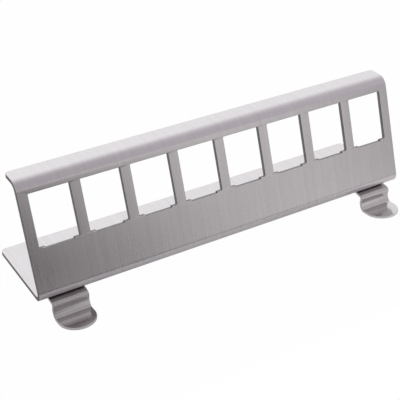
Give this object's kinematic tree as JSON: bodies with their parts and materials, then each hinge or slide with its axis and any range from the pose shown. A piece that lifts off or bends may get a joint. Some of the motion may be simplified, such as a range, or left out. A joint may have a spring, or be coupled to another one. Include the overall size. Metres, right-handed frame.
{
  "type": "din rail keystone holder",
  "caption": "Folded steel holder with a leaning panel of keystone cut-outs, on sprung clips for a top hat rail.",
  "frame": {"origin": "on the top hat rail's centre line, midway along the holder, level with the face that the rail's lips bear on", "axes": "+X along the rail, +Y to the rear of the holder, +Z away from the rail"},
  "size_m": [0.1536, 0.0473, 0.0483],
  "materials": {
    "stainless_sheet": "fine brushing along the panel's height",
    "spring_steel": "smooth, slightly glossy",
    "plated_fastener": "bright zinc plate"
  },
  "bodies": {
    "root": {"holder_bracket": "stainless_sheet", "rail_clip_left": "spring_steel", "rail_clip_right": "spring_steel", "clip_screw_left_front": "plated_fastener", "lock_washer_left_front": "plated_fastener", "clip_nut_left_front": "plated_fastener", "clip_screw_left_rear": "plated_fastener", "lock_washer_left_rear": "plated_fastener", "clip_nut_left_rear": "plated_fastener", "clip_screw_right_front": "plated_fastener", "lock_washer_right_front": "plated_fastener", "clip_nut_right_front": "plated_fastener", "clip_screw_right_rear": "plated_fastener", "lock_washer_right_rear": "plated_fastener", "clip_nut_right_rear": "plated_fastener"}
  },
  "joints": []
}
